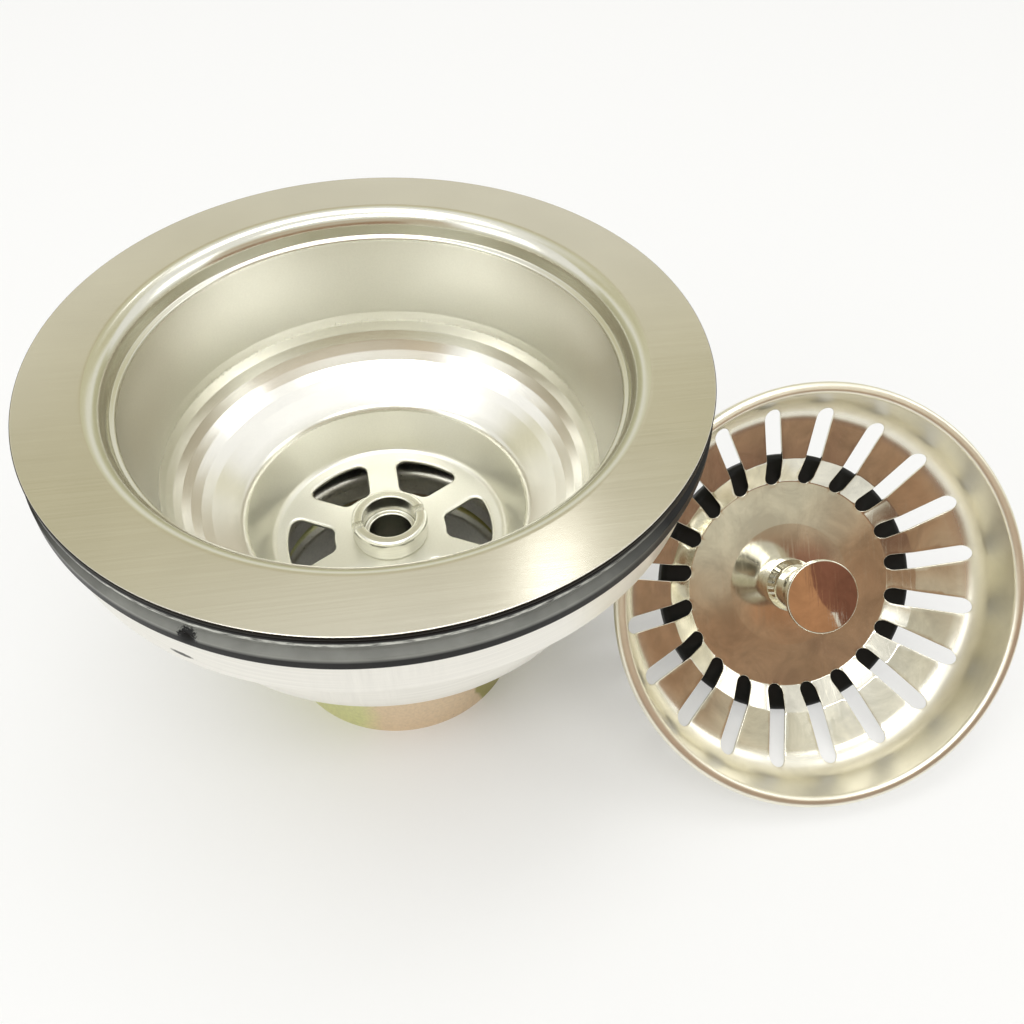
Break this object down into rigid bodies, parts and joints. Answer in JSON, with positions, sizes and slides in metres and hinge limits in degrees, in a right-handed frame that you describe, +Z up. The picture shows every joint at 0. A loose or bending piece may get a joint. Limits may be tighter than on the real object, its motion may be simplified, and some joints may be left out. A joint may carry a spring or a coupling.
{
  "type": "basket strainer waste",
  "caption": "Flanged strainer cup with a slotted hub, rubber gaskets, a silver lock shell and a gold outlet tube; its lift-out slotted basket with knob and stopper lies beside it.",
  "frame": {"origin": "centre of the outlet tube's lower end, on the surface the set stands on", "axes": "+Z up along the waste's axis; +X towards the basket that lies beside it; -Y towards the viewer"},
  "size_m": [0.1782, 0.1148, 0.079],
  "materials": {
    "cup_steel": "brushed flange, satin drawn cup",
    "basket_steel": "mirror-polished stainless with fine wipe marks",
    "knob_steel": "mirror-polished stainless",
    "bolt_steel": "turned, bright",
    "post_steel": "turned, satin",
    "bridge_steel": "plain, satin",
    "shell_metal": "pale satin plate with drawing marks on its rim",
    "tail_zinc": "yellow-passivated zinc plate",
    "seal_rubber": "black moulded rubber",
    "gasket_rubber": "black moulded rubber, smooth rounded edge",
    "stopper_rubber": "black moulded rubber"
  },
  "bodies": {
    "root": {"strainer_cup": "cup_steel", "flange_seal": "seal_rubber", "sink_gasket": "gasket_rubber", "lock_shell": "shell_metal", "tail_spigot": "tail_zinc", "tail_seal": "seal_rubber", "bolt_bridge": "bridge_steel", "centre_bolt": "bolt_steel", "bolt_washer": "bridge_steel", "basket_dish": "basket_steel", "basket_knob": "knob_steel", "basket_post": "post_steel", "stopper_disc": "stopper_rubber", "stopper_washer": "post_steel", "post_ring": "stopper_rubber"}
  },
  "joints": []
}
